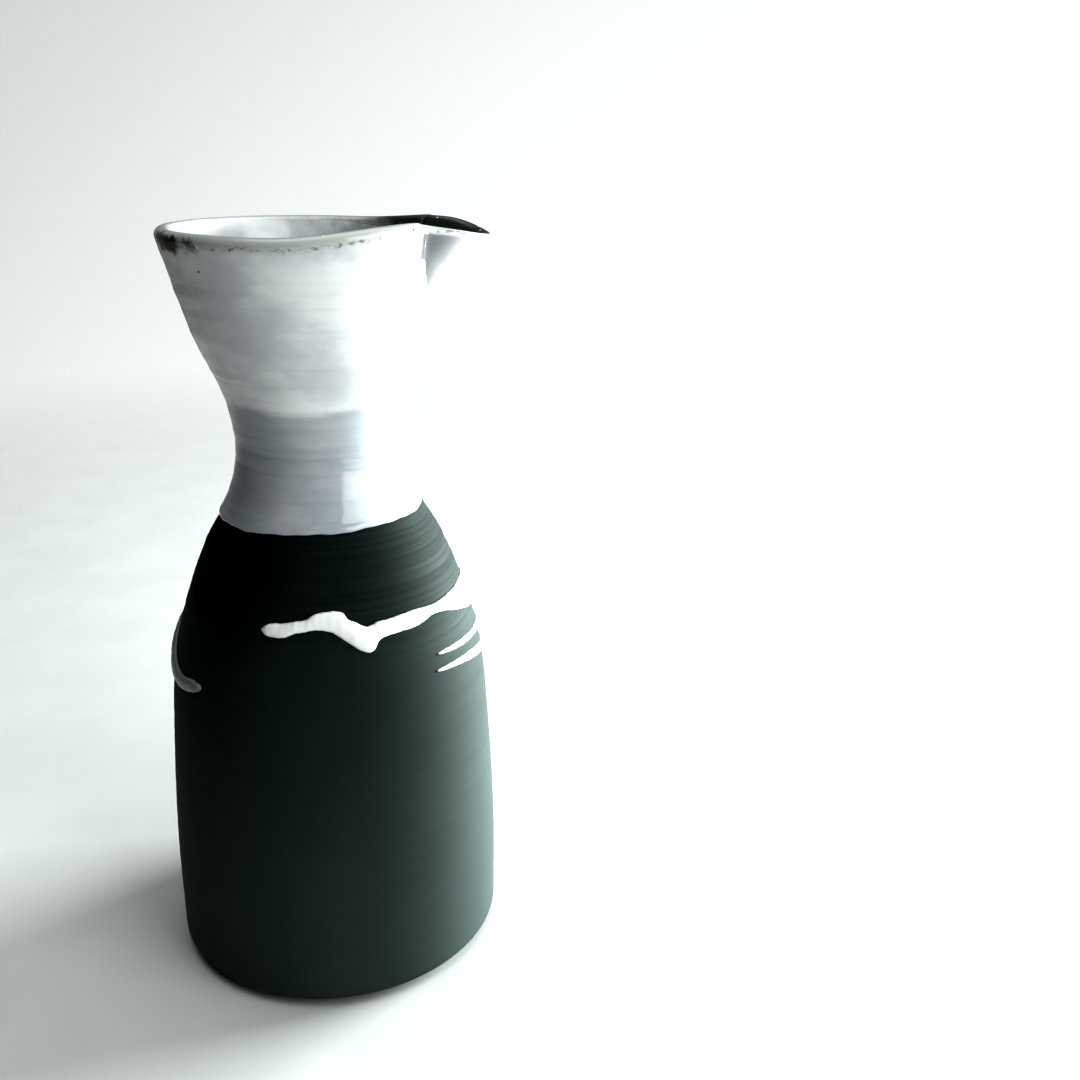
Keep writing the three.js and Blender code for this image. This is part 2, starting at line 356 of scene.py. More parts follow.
def skin(name, rows, closed=False, open_end=False):
    """A mesh from rows of points that each go once round. closed joins the last row to the first; otherwise
    each end row closes on its middle point, unless open_end leaves the last one open."""
    row_count, columns = rows.shape[:2]
    here = np.arange(row_count * columns).reshape(row_count, columns)
    beside = np.roll(here, -1, axis=1)
    following = np.roll(here, -1, axis=0) if closed else here[1:]
    following_beside = np.roll(beside, -1, axis=0) if closed else beside[1:]
    last = row_count if closed else row_count - 1
    quads = np.stack([here[:last], beside[:last], following_beside, following], -1).reshape(-1, 4)
    points = rows.reshape(-1, 3)
    faces = quads.tolist()
    if not closed:
        faces += [[len(points), b, a] for a, b in zip(here[0].tolist(), beside[0].tolist())]
        points = np.concatenate([points, rows[0].mean(0)[None]])
    if not closed and not open_end:
        faces += [[len(points), a, b] for a, b in zip(here[-1].tolist(), beside[-1].tolist())]
        points = np.concatenate([points, rows[-1].mean(0)[None]])
    mesh = bpy.data.meshes.new(name)
    mesh.from_pydata((points * MM).tolist(), [], faces)
    mesh.polygons.foreach_set("use_smooth", np.ones(len(mesh.polygons), bool))
    mesh.update()
    piece = bpy.data.objects.new(name, mesh)
    bpy.context.scene.collection.objects.link(piece)
    return piece


def store(piece, name, values, elsewhere=0.0):
    """Keeps a number per point for the material: values for the first rows, and elsewhere for the rest."""
    per_point = np.full(len(piece.data.vertices), elsewhere, np.float32)
    per_point[: values.size] = values.ravel()
    attribute = piece.data.attributes.new(name, "FLOAT", "POINT")
    attribute.data.foreach_set("value", per_point)


def set_round(radius, height):
    """Points at grids of radius and height, one column per azimuth, with the pouring lip pulled out."""
    azimuth = AZIMUTHS[None, :]
    turn = np.radians(azimuth)
    reach = radius + pour_out(np.abs(azimuth), height)
    raised = height + mouth_rise(azimuth) * smooth_step(height, SHOULDER_ROOT_HEIGHT, LIP_HEIGHT)
    return np.stack([reach * np.cos(turn), reach * np.sin(turn), raised], -1)


def thrown(outline, marks=0.0):
    """A (radius, height) outline turned round Z, with marks added to its radius."""
    return set_round(outline[:, 0:1] + marks, outline[:, 1:2])


def make_clay_body():
    """The clay from the middle of the foot out, up the outside, over the lip and down to the inside floor."""
    inside_corner = off_inside(WALL_FOOT, 0)
    floor_radius = inside_corner[0] - FLOOR_CORNER
    foot = flat_stretch(FLAT_MARGIN, FOOT_RADIUS - FLAT_MARGIN, 0, FOOT_ROWS)
    corner = corner_arc((FOOT_RADIUS, 0), off_outside(FOOT_TOP, 0))
    wall = off_outside(heights(FOOT_TOP, LIP_HEIGHT), 0)
    inside = off_inside(heights(WALL_FOOT, LIP_HEIGHT, INSIDE_STEP)[::-1], 0)
    floor_corner = corner_arc((floor_radius, FLOOR_THICKNESS), inside_corner)[::-1]
    floor = flat_stretch(floor_radius, FLAT_MARGIN, FLOOR_THICKNESS, FLOOR_ROWS)
    outline = np.concatenate([foot, corner, wall, lip_arc(0), inside, floor_corner, floor])
    # only the wall has rings, from a little above the foot to a little under the glaze's edge
    above_foot = np.clip((wall[:, 1] - FOOT_TOP) / 5, 0, 1)
    below_glaze = 1 - smooth_step(wall[:, 1], GLAZE_LINE_HEIGHT + 1, GLAZE_LINE_HEIGHT + 5)
    weight = np.zeros((len(outline), 1))
    first = len(foot) + len(corner)
    weight[first : first + len(wall), 0] = above_foot * below_glaze
    marks = throwing_rings(AZIMUTHS[None, :], outline[:, 1:2]) * weight
    return skin("thrown_clay", thrown(outline, marks))


# ------------------------------------------------------------- glazes ----

# Distances from a rolled edge, close together where it curves, outside and inside the mouth.
EDGE_STEPS = np.array([0, 0.03, 0.08, 0.15, 0.25, 0.4, 0.6, 0.85, 1.15, 1.5])
INNER_EDGE_STEPS = np.array([0, 0.03, 0.08, 0.15, 0.3, 0.5, 0.8, 1.2, 1.8])
EDGE_END = 1.9
INNER_EDGE_END = 2.4
ROLL_LENGTH = 0.35
BEAD_HEIGHT = 0.12
BEAD_DISTANCE = 0.8
BEAD_HALF_WIDTH = 0.6
# Above this height the coat settles towards its plain thickness, by this share at the lip.
SETTLING_HEIGHT = 174
SETTLED_SHARE = 0.6


def glaze_line(azimuth):
    """The height of the glaze's edge: a level dipped a little askew, with the small waves of wet glaze."""
    turn = np.radians(azimuth)
    radius = outside_radius(np.array(GLAZE_LINE_HEIGHT))
    waver = 0.10 * np.sin(7 * turn + 1) + 0.07 * np.sin(13 * turn + 2) + 0.05 * np.sin(29 * turn)
    return GLAZE_LINE_HEIGHT + GLAZE_LINE_SLOPE * radius * np.cos(turn) + waver


def edge_roll(distance):
    """Glaze thickness by distance from its edge: a rounded bead that settles to the full coat."""
    rounded = np.sqrt(1 - np.exp(-np.clip(distance, 0, None) / ROLL_LENGTH))
    return GLAZE * rounded + BEAD_HEIGHT * bell(distance - BEAD_DISTANCE, BEAD_HALF_WIDTH)


def coat_outside(line):
    """(radius, height) of the neck glaze's outer face, from the glaze line up to the lip."""
    above = np.concatenate([EDGE_STEPS, heights(EDGE_END, LIP_HEIGHT - GLAZE_LINE_HEIGHT)])[:, None]
    height = line + above / (LIP_HEIGHT - GLAZE_LINE_HEIGHT) * (LIP_HEIGHT - line)
    thickness = edge_roll(above) + glaze_ripples(AZIMUTHS[None, :], height) * smooth_step(above, 1, 4)
    settled = SETTLED_SHARE * smooth_step(height, SETTLING_HEIGHT, LIP_HEIGHT)
    return off_outside(height, thickness * (1 - settled) + GLAZE * settled)


def coat_inside():
    """The neck glaze's face inside the mouth, from the lip down to its rolled edge."""
    below_lip = heights(LIP_HEIGHT, LINER_TOP_HEIGHT + INNER_EDGE_END)
    height = np.concatenate([below_lip, LINER_TOP_HEIGHT + INNER_EDGE_STEPS[::-1]])
    return off_inside(height, np.minimum(GLAZE, edge_roll(height - LINER_TOP_HEIGHT)))


def coat_back():
    """The neck glaze's hidden face, sunk in the clay, from inside the mouth over the lip and down."""
    inside = off_inside(heights(LINER_TOP_HEIGHT + 1, LIP_HEIGHT, HIDDEN_STEP), -GLAZE_SINK)
    outside = off_outside(heights(LIP_HEIGHT, GLAZE_LINE_HEIGHT + 8, HIDDEN_STEP), -GLAZE_SINK)
    return np.concatenate([inside, lip_arc(-GLAZE_SINK)[::-1], outside])


def make_neck_glaze():
    line = glaze_line(AZIMUTHS[None, :])
    outer = coat_outside(line)
    lip = lip_arc(GLAZE)
    turned = np.concatenate([lip, coat_inside(), coat_back()])
    back_edge = off_outside(line + 0.1, -GLAZE_SINK)
    outer_rows = set_round(outer[..., 0], outer[..., 1])
    back_edge_row = set_round(back_edge[..., 0], back_edge[..., 1])
    rows = np.concatenate([outer_rows, thrown(turned), back_edge_row])
    piece = skin("dipped_neck_glaze", rows, closed=True)
    store_thin_and_shaded_places(piece, np.concatenate([outer[:, 0], turned]), len(outer) + len(lip) // 2)
    return piece


def make_liner_glaze():
    floor_radius = off_inside(WALL_FOOT, 0)[0] - FLOOR_CORNER

    def layer(distance, step):
        wall = off_inside(heights(WALL_FOOT, LINER_TOP_HEIGHT - LINER_TOP_GAP, step), distance)
        edge = (floor_radius, FLOOR_THICKNESS + distance)
        floor = flat_stretch(FLAT_MARGIN, floor_radius - FLAT_MARGIN, edge[1], FLOOR_ROWS)
        return np.concatenate([floor, corner_arc(edge, wall[0]), wall])

    outline = np.concatenate([layer(-GLAZE_SINK, INSIDE_STEP), layer(LINER_GLAZE, 2 * ROW_STEP)[::-1]])
    return skin("poured_liner_glaze", thrown(outline))


# --------------------------------------- where the neck glaze is thin ----

# Inside the mouth the thin glaze reaches this far past the lip's crest, and further by the pour.
THIN_WIDTH = 1.0
THIN_WIDTH_BY_POUR = 5.0
THIN_AZIMUTH, THIN_HALF_ANGLE = 15, 60
PAST_LINE_AT_CREST = -1.5
PAST_LINE_SLOPE = 6
# Inside the mouth round this azimuth, by the pour, the glaze is darkened: partly thin glaze, partly painted
# shade on the far wall.
DARK_AZIMUTH, DARK_HALF_ANGLE = 25, 50
BROWN_PATCH_AZIMUTH, BROWN_PATCH_HALF_ANGLE = -143, 17
BROWN_PATCH_DISTANCE, BROWN_PATCH_HALF_WIDTH = 2.6, 2.2
# Painted shade in the pinch beside the pour widens upwards from its foot, by this many degrees a millimetre.
PINCH_SHADE_ANGLE = 28
PINCH_SHADE_FOOT = 156
PINCH_SHADE_FULL = 170
PINCH_SHADE_HALF_ANGLE = 3.2
PINCH_SHADE_WIDENING = 0.40
PINCH_SHADE_END, PINCH_SHADE_START = 1.2, 2.6
# Stands for a point that is far from the lip.
FAR_PAST = 99.0


def lip_line(azimuth):
    """How far below the lip's crest the glaze has drawn back to; least at the pouring lip."""
    turn = np.radians(azimuth)
    waver = 0.22 * np.sin(5 * turn + 1) + 0.16 * np.sin(11 * turn) + 0.12 * np.sin(23 * turn + 2)
    return 3.0 - 1.6 * bell(azimuth + 12, 42) + waver


def past_lip_line(azimuth, outwards):
    """How far each point is past the line where the thin glaze over the lip ends; negative over the lip."""
    thin_width = THIN_WIDTH + THIN_WIDTH_BY_POUR * bell(azimuth - THIN_AZIMUTH, THIN_HALF_ANGLE)
    inside = PAST_LINE_AT_CREST + PAST_LINE_SLOPE * np.maximum(-outwards - thin_width, 0)
    return np.where(outwards > 0, outwards - lip_line(azimuth), inside)


def brown_patch(azimuth, outwards):
    around = bell(azimuth - BROWN_PATCH_AZIMUTH, BROWN_PATCH_HALF_ANGLE)
    return around * bell(outwards - BROWN_PATCH_DISTANCE, BROWN_PATCH_HALF_WIDTH)


# Painted shade: a mask for greying the glaze in the pinch beside the pour.
def painted_pinch_shade(azimuth, outwards, height):
    widening = PINCH_SHADE_WIDENING * np.clip(height - PINCH_SHADE_FOOT, 0, None)
    around = bell(np.abs(azimuth) - PINCH_SHADE_ANGLE, PINCH_SHADE_HALF_ANGLE + widening)
    upwards = smooth_step(height, PINCH_SHADE_FOOT, PINCH_SHADE_FULL)
    return around * upwards * smooth_step(outwards, PINCH_SHADE_END, PINCH_SHADE_START)


def store_thin_and_shaded_places(piece, outline, crest):
    """Keeps, for the material, where the glaze is thin over the lip and in one brown patch, where the mouth
    is darker by the pour as thin glaze and painted shade, and where painted shade greys the pinch. Distances
    run outwards along the outline from the row of the lip's crest."""
    azimuth = AZIMUTHS[None, :]
    steps = np.hypot(*np.diff(outline, axis=0).T)
    along = np.concatenate([[0], np.cumsum(steps)])
    outwards = (along[crest] - along)[:, None]
    store(piece, "past_lip_line", past_lip_line(azimuth, outwards), FAR_PAST)
    store(piece, "brown_lip", brown_patch(azimuth, outwards))
    # Inside the mouth by the pour, thin glaze and painted shade darken the glaze.
    store(piece, "thin_and_shaded_inside", bell(azimuth - DARK_AZIMUTH, DARK_HALF_ANGLE) * (outwards < 0))
    store(piece, "painted_pinch_shade", painted_pinch_shade(azimuth, outwards, outline[:, 1:2]))


# -------------------------------------------------------- slip trails ----

SLIP_SECTION = 28
SLIP_STEP_DEGREES = 0.35
SLIP_END_LENGTH = 1.2
SLIP_LEAST_HALF_WIDTH = 0.02
SLIP_EDGE_THICKNESS = 0.28
SLIP_FULLNESS = 0.62
SLIP_SQUARENESS = 0.75
SLIP_SINK = 0.4
SLIP_SWELL = 0.03
EDGE_WAVER_SIZE = 0.05
EDGE_WAVER = ((1.7, 0.3, 1.0), (2.9, 1.9, -0.8), (4.7, 4.1, 1.0), (7.9, 2.2, 0.9))
# The upper edge wavers as the lower one does this much further along.
EDGE_WAVER_SHIFT = 20


def make_slip_trail(name, stations):
    """A trail whose section is a low dome with steep edges. Its edges waver, and its back is in the clay."""
    stations = np.array(stations, float)
    first, last = stations[0, 0], stations[-1, 0]
    azimuth = np.linspace(first, last, round((last - first) / SLIP_STEP_DEGREES))
    low = smooth_through(stations[:, [0, 1]])(azimuth)
    high = smooth_through(stations[:, [0, 2]])(azimuth)
    middle, half = (low + high) / 2, (high - low) / 2
    arc = np.radians(azimuth) * outside_radius(middle)
    from_end = np.minimum(arc - arc[0], arc[-1] - arc)
    end_round = np.sqrt(1 - (1 - np.clip(from_end / SLIP_END_LENGTH, 0, 1)) ** 2)
    half = np.maximum(half * end_round, SLIP_LEAST_HALF_WIDTH)[:, None]
    around = np.linspace(0, 2 * math.pi, SLIP_SECTION, endpoint=False)
    across = np.cos(around)[None, :]
    top = np.sin(around)[None, :]
    waver = EDGE_WAVER_SIZE * np.minimum(1, half) * np.abs(across)
    waver = waver * waves(arc[:, None] + EDGE_WAVER_SHIFT * (across > 0), EDGE_WAVER)
    height = middle[:, None] + half * across + waver
    full = np.minimum(SLIP_THICKNESS, SLIP_EDGE_THICKNESS + SLIP_FULLNESS * half)
    dome = np.sign(top) * np.abs(top) ** SLIP_SQUARENESS
    stand = np.where(top > 0, full * dome, SLIP_SINK * top)
    swell = 1 + SLIP_SWELL * waves(arc, EDGE_WAVER)[:, None]
    radius, height = np.moveaxis(off_outside(height, stand * swell), -1, 0)
    turn = np.radians(azimuth)[:, None]
    rows = np.stack([radius * np.cos(turn), radius * np.sin(turn), height], -1)
    piece = skin(name + "_slip", rows[::-1])
    # Painted shade: how far this trail is darkened towards the clay's colour.
    store(piece, "painted_slip_shade", np.full(rows.shape[:2], SLIP_SHADE_AMOUNT.get(name, 0.0)))
    return piece


# ========================================================== materials ====

CLAY_DARK = (0.024, 0.034, 0.032, 1)
CLAY_LIGHT = (0.032, 0.044, 0.042, 1)
CLAY_BAND = (0.046, 0.062, 0.059, 1)
# Painted shade on the shoulder.
CLAY_SHOULDER_SHADE = (0.008, 0.012, 0.0115, 1)
CLAY_SHINE = (0.86, 1.0, 0.98, 1)
GLAZE_GREY = (0.66, 0.67, 0.69, 1)
GLAZE_WHITE = (0.81, 0.82, 0.82, 1)
GLAZE_BAND = (0.58, 0.58, 0.62, 1)
NECK_BLUE = (0.49, 0.52, 0.545, 1)
NECK_PALE = (0.57, 0.575, 0.59, 1)
NECK_STREAK = (0.40, 0.385, 0.405, 1)
# Painted shade in the pinch beside the pour.
PINCH_SHADE_GREY = (0.13, 0.136, 0.145, 1)
LIP_GREEN = (0.56, 0.575, 0.55, 1)
# Inside the mouth by the pour: thin glaze and painted shade.
MOUTH_DARK = (0.075, 0.083, 0.076, 1)
BREAK_BROWN = (0.13, 0.12, 0.10, 1)
PATCH_OLIVE = (0.075, 0.068, 0.04, 1)
IRON_BLACK = (0.02, 0.018, 0.017, 1)
# Painted glints in the thin glaze over the lip.
GLINT_WHITE = (0.95, 0.95, 0.95, 1)
SLIP_GREY = (0.78, 0.79, 0.79, 1)
SLIP_WHITE = (0.88, 0.88, 0.87, 1)
# Painted shade on the left trail.
SLIP_SHADE_DARK = (0.045, 0.055, 0.053, 1)
TABLE_GREY = (0.62, 0.625, 0.62, 1)
TABLE_PALE = (0.64, 0.645, 0.64, 1)

CERAMIC_IOR = 1.5
# Heights in metres, where the painted shade on the clay's shoulder starts and ends getting darker, and where
# the clay's shine falls off.
SHOULDER_SHADE_START, SHOULDER_SHADE_END = 0.084, 0.104
SHINE_START, SHINE_END = 0.01, 0.11
SECOND_DIP_START, SECOND_DIP_END = 0.1415, 0.1445
SECOND_DIP_WAVER = 0.0008


def node(tree, kind, inputs=None, **settings):
    """Adds a shader node; an input is given as a value, or as the socket that feeds it."""
    made = tree.nodes.new(kind)
    for name, value in settings.items():
        setattr(made, name, value)
    for key, value in (inputs or {}).items():
        if isinstance(value, bpy.types.NodeSocket):
            tree.links.new(value, made.inputs[key])
        else:
            made.inputs[key].default_value = value
    return made


def new_material(name):
    material = bpy.data.materials.new(name)
    material.use_nodes = True
    tree = material.node_tree
    tree.nodes.clear()
    coords = node(tree, "ShaderNodeTexCoord").outputs["Object"]
    return material, tree, coords


def finish_material(tree, shader):
    node(tree, "ShaderNodeOutputMaterial", {"Surface": shader.outputs[0]})


def ceramic(tree, inputs):
    """Ends a material with a ceramic surface."""
    finish_material(tree, node(tree, "ShaderNodeBsdfPrincipled", {"IOR": CERAMIC_IOR, **inputs}))


def noise(tree, vector, scale, detail=3.0, roughness=0.5):
    inputs = {"Vector": vector, "Scale": scale, "Detail": detail, "Roughness": roughness}
    return node(tree, "ShaderNodeTexNoise", inputs).outputs["Fac"]


def stretched_noise(tree, coords, scale, detail, roughness=0.5):
    """A noise scaled by axis: much finer along Z than across, it becomes bands round the pot."""
    scaled = node(tree, "ShaderNodeMapping", {"Vector": coords, "Scale": scale}).outputs[0]
    return noise(tree, scaled, 1.0, detail, roughness)


def ramp(tree, value, low, high, start, end):
    """value from low..high to start..end, smoothly, and held beyond."""
    inputs = {"Value": value, "From Min": low, "From Max": high, "To Min": start, "To Max": end}
    return node(tree, "ShaderNodeMapRange", inputs, interpolation_type="SMOOTHSTEP").outputs[0]


def noise_ramp(tree, value, start, end):
    """start to end over the middle of a noise's range."""
    return ramp(tree, value, 0.3, 0.7, start, end)


def math_node(tree, operation, first, second=0.0):
    return node(tree, "ShaderNodeMath", {0: first, 1: second}, operation=operation).outputs[0]


def mixed(tree, amount, first, second):
    """A colour between first and second. The node's colour sockets are its seventh and eighth."""
    inputs = {0: amount, 6: first, 7: second}
    return node(tree, "ShaderNodeMix", inputs, data_type="RGBA").outputs[2]


def bumped(tree, height, distance, strength=1.0, normal=None):
    inputs = {"Height": height, "Distance": distance, "Strength": strength}
    if normal:
        inputs["Normal"] = normal
    return node(tree, "ShaderNodeBump", inputs).outputs[0]


def stored(tree, name):
    """What store kept on the mesh."""
    return node(tree, "ShaderNodeAttribute", attribute_name=name).outputs["Fac"]


def part_of(tree, vector, axis):
    """The X, Y or Z of a vector or a colour."""
    return node(tree, "ShaderNodeSeparateXYZ", {0: vector}).outputs[axis]


def dark_stoneware():
    """Bare, nearly black clay with a broad satin shine, and painted shade that darkens the shoulder."""
    material, tree, coords = new_material("dark_stoneware")
    bands = stretched_noise(tree, coords, (14, 14, 1500), 3.0)
    clouds = noise(tree, coords, 45, 4.0)
    grain = noise(tree, coords, 2600, 2.0, 0.6)
    height = part_of(tree, coords, "Z")
    base = mixed(tree, ramp(tree, clouds, 0.35, 0.65, 0, 1), CLAY_DARK, CLAY_LIGHT)
    base = mixed(tree, ramp(tree, bands, 0.42, 0.72, 0, 0.5), base, CLAY_BAND)
    # Painted shade: the shoulder darkens upwards, varied in bands.
    turned = ramp(tree, height, SHOULDER_SHADE_START, SHOULDER_SHADE_END, 0, 0.52)
    turned = math_node(tree, "ADD", turned, ramp(tree, bands, 0.35, 0.65, -0.14, 0.14))
    base = mixed(tree, math_node(tree, "MAXIMUM", turned, 0.0), base, CLAY_SHOULDER_SHADE)
    bump = bumped(tree, bands, 0.00006, 0.6)
    bump = bumped(tree, grain, 0.00004, 0.5, bump)
    inputs = {
        "Base Color": base,
        "Roughness": ramp(tree, math_node(tree, "ADD", bands, clouds), 0.7, 1.3, 0.74, 0.82),
        "Normal": bump,
        "Specular IOR Level": ramp(tree, height, SHINE_START, SHINE_END, 1.1, 0.42),
        "Specular Tint": CLAY_SHINE,
    }
    ceramic(tree, inputs)
    return material


def white_glaze(name, with_lip):
    """Glossy white glaze, greyer in bands. with_lip adds what the neck's coat has and the liner hasn't."""
    material, tree, coords = new_material(name)
    bands = stretched_noise(tree, coords, (18, 18, 900), 4.0)
    clouds = stretched_noise(tree, coords, (40, 40, 75), 4.0, 0.6)
    white = mixed(tree, ramp(tree, clouds, 0.36, 0.64, 0, 1), GLAZE_GREY, GLAZE_WHITE)
    base = mixed(tree, ramp(tree, bands, 0.5, 0.8, 0, 0.22), white, GLAZE_BAND)
    if with_lip:
        base = thin_neck_coat(tree, coords, bands, clouds, base)
        # Painted shade: the glaze greys in the pinch beside the pour.
        pinch = math_node(tree, "MULTIPLY", stored(tree, "painted_pinch_shade"), 0.95)
        base = mixed(tree, pinch, base, PINCH_SHADE_GREY)
        base = lip_break(tree, coords, base)
        base = iron_specks(tree, coords, base)
        # Painted glints over the lip and inside it.
        base = painted_glints(tree, coords, base)
    bump = bumped(tree, bands, 0.00005, 0.5)
    bump = bumped(tree, noise(tree, coords, 420, 2.0), 0.00005, 0.4, bump)
    roughness = noise_ramp(tree, clouds, 0.06, 0.15)
    ceramic(tree, {"Base Color": base, "Roughness": roughness, "Normal": bump})
    return material


def thin_neck_coat(tree, coords, bands, clouds, base):
    """Below the second dip the coat is thinner: blue-grey and lilac, and the throwing marks show through."""
    waver = noise_ramp(tree, clouds, -SECOND_DIP_WAVER, SECOND_DIP_WAVER)
    edge = math_node(tree, "ADD", part_of(tree, coords, "Z"), waver)
    thin = ramp(tree, edge, SECOND_DIP_START, SECOND_DIP_END, 1, 0)
    coat = mixed(tree, ramp(tree, clouds, 0.4, 0.6, 0, 1), NECK_BLUE, NECK_PALE)
    coat = mixed(tree, ramp(tree, bands, 0.45, 0.75, 0, 0.35), coat, NECK_STREAK)
    return mixed(tree, thin, base, coat)


def lip_break(tree, coords, base):
    """Over the lip the glaze runs thin and grey-green, with a broken brown line where it has drawn back.
    Inside the mouth by the pour it is darker, as thin glaze and as painted shade, and it is olive in one
    patch."""
    patches = noise(tree, coords, 380, 4.0, 0.65)
    past = math_node(tree, "ADD", stored(tree, "past_lip_line"), noise_ramp(tree, patches, -0.5, 0.5))
    base = mixed(tree, ramp(tree, past, -0.6, 1.6, 0.85, 0), base, LIP_GREEN)
    # Darker and mottled inside the mouth by the pour: partly thin glaze, partly painted shade.
    mottle = ramp(tree, noise(tree, coords, 130, 4.0, 0.6), 0.35, 0.65, -0.12, 0.12)
    inside = math_node(tree, "ADD", stored(tree, "thin_and_shaded_inside"), mottle)
    base = mixed(tree, ramp(tree, inside, 0.05, 0.75, 0, 0.95), base, MOUTH_DARK)
    line = ramp(tree, math_node(tree, "ABSOLUTE", past), 0.12, 0.5, 1, 0)
    broken = ramp(tree, noise(tree, coords, 700, 3.0, 0.7), 0.48, 0.62, 0.05, 0.6)
    base = mixed(tree, math_node(tree, "MULTIPLY", line, broken), base, BREAK_BROWN)
    olive = math_node(tree, "ADD", stored(tree, "brown_lip"), noise_ramp(tree, patches, -0.25, 0.25))
    return mixed(tree, ramp(tree, olive, 0.25, 0.75, 0, 0.92), base, PATCH_OLIVE)


def dots(tree, coords, scale, luck_axis, chance):
    """Round dots in random cells. chance is the share of the cells that have one."""
    cells = node(tree, "ShaderNodeTexVoronoi", {"Vector": coords, "Scale": scale})
    dot = ramp(tree, cells.outputs["Distance"], 0.10, 0.17, 1, 0)
    luck = part_of(tree, cells.outputs["Color"], luck_axis)
    return math_node(tree, "MULTIPLY", dot, math_node(tree, "LESS_THAN", luck, chance))


def iron_specks(tree, coords, base):
    """Iron specks half a millimetre across, many along the line where the glaze breaks, few elsewhere."""
    from_line = math_node(tree, "ABSOLUTE", stored(tree, "past_lip_line"))
    chance = ramp(tree, from_line, 0.2, 0.9, 0.22, 0.013)
    return mixed(tree, dots(tree, coords, 480, "X", chance), base, IRON_BLACK)


def painted_glints(tree, coords, base):
    """Painted glints: white dots in the thin glaze over the lip and inside it, standing for sparkles of light
    on tiny bumps.
    """
    chance = ramp(tree, stored(tree, "past_lip_line"), -0.2, 0.6, 0.14, 0.0)
    return mixed(tree, dots(tree, coords, 560, "Y", chance), base, GLINT_WHITE)


def white_slip():
    """Raised white slip with a soft sheen; the left trail is darkened towards the clay's colour as painted
    shade.
    """
    material, tree, coords = new_material("white_slip")
    clouds = noise(tree, coords, 160, 4.0)
    base = mixed(tree, noise_ramp(tree, clouds, 0, 1), SLIP_GREY, SLIP_WHITE)
    # Painted shade darkens the left trail towards the clay's colour.
    base = mixed(tree, stored(tree, "painted_slip_shade"), base, SLIP_SHADE_DARK)
    bump = bumped(tree, clouds, 0.00012, 0.5)
    bump = bumped(tree, noise(tree, coords, 1500, 2.0), 0.00003, 0.4, bump)
    roughness = noise_ramp(tree, clouds, 0.2, 0.32)
    ceramic(tree, {"Base Color": base, "Roughness": roughness, "Normal": bump})
    return material


# ============================================================== stage ====

# ---- Camera: close, a little above the mouth, with the pouring lip turned 10 degrees towards it ----
CAMERA_AZIMUTH = math.radians(10)
CAMERA_DISTANCE_MM = 268.1
CAMERA_HEIGHT_MM = 196.6
CAMERA_YAW = math.radians(11.42)
CAMERA_PITCH = math.radians(18.79)
CAMERA_ROLL = math.radians(0.84)
CAMERA_LENS = 37.33
CAMERA_SENSOR = 36
CAMERA_NEAREST = 0.01

# ---- Table top: a round sheet that fades out between two distances from the bottle ----
TABLE_RADIUS = 1.6
TABLE_FIRST_RING = 0.02
TABLE_RINGS = 24
TABLE_COLUMNS = 96
TABLE_FADE_START, TABLE_FADE_END = 0.3, 0.9

# ---- Windows as (azimuth, elevation, width, height, radiance): one at the right, one in front ----
WINDOWS = {
    "window": (29, 3.5, 0.50, 0.30, 72.0),
    "window_side": (-36, 18, 0.60, 0.76, 4.2),
}
WINDOW_DISTANCE = 0.85
WINDOW_AIM = Vector((0, 0, 0.1))
WINDOW_COLOUR = (0.96, 1.0, 0.99)

# ---- Room light: (azimuth, elevation), how squarely it starts and is full, strength from and to ----
ROOM_GLOWS = {
    "wall": ((100, 10), (0.45, 0.85), (0.02, 0.34)),
    "ceiling": ((0, 90), (0.80, 0.97), (0, 3.1)),
    "front": ((-60, 20), (0.70, 0.97), (0, 0.45)),
}
ROOM_COLOUR = (0.97, 1.0, 1.0, 1)
# What the camera sees behind the bottle, given the same way.
BACKDROP_GLOW = ((50, -40), (0.15, 0.70), (0.76, 1.05))
BACKDROP_COLOUR = (0.97, 1.0, 0.99, 1)

# ---- Print: how far the mid-tones are darkened, and what counts as black ----
VIEW_GAMMA = 0.6
BLACK_LEVEL = 0.028


def make_camera():
    """Close to the bottle and a little above its mouth, looking down past it to the right."""
    heading, pitch, roll = CAMERA_YAW - CAMERA_AZIMUTH, CAMERA_PITCH, CAMERA_ROLL
    ahead = math.cos(pitch)
    forward = Vector((math.sin(heading) * ahead, math.cos(heading) * ahead, -math.sin(pitch)))
    level = Vector((math.cos(heading), -math.sin(heading), 0))
    upward = level.cross(forward)
    right = level * math.cos(roll) + upward * math.sin(roll)
    up = upward * math.cos(roll) - level * math.sin(roll)
    turn = Matrix((right, up, -forward)).transposed().to_4x4()
    away = Vector((math.sin(CAMERA_AZIMUTH), -math.cos(CAMERA_AZIMUTH), 0))
    spot = (away * CAMERA_DISTANCE_MM + Vector((0, 0, CAMERA_HEIGHT_MM))) * MM
    camera = bpy.data.objects.new("camera", bpy.data.cameras.new("camera"))
    camera.data.lens = CAMERA_LENS
    camera.data.sensor_width = CAMERA_SENSOR
    camera.data.clip_start = CAMERA_NEAREST
    camera.matrix_world = Matrix.Translation(spot) @ turn
    bpy.context.scene.collection.objects.link(camera)
    bpy.context.scene.camera = camera


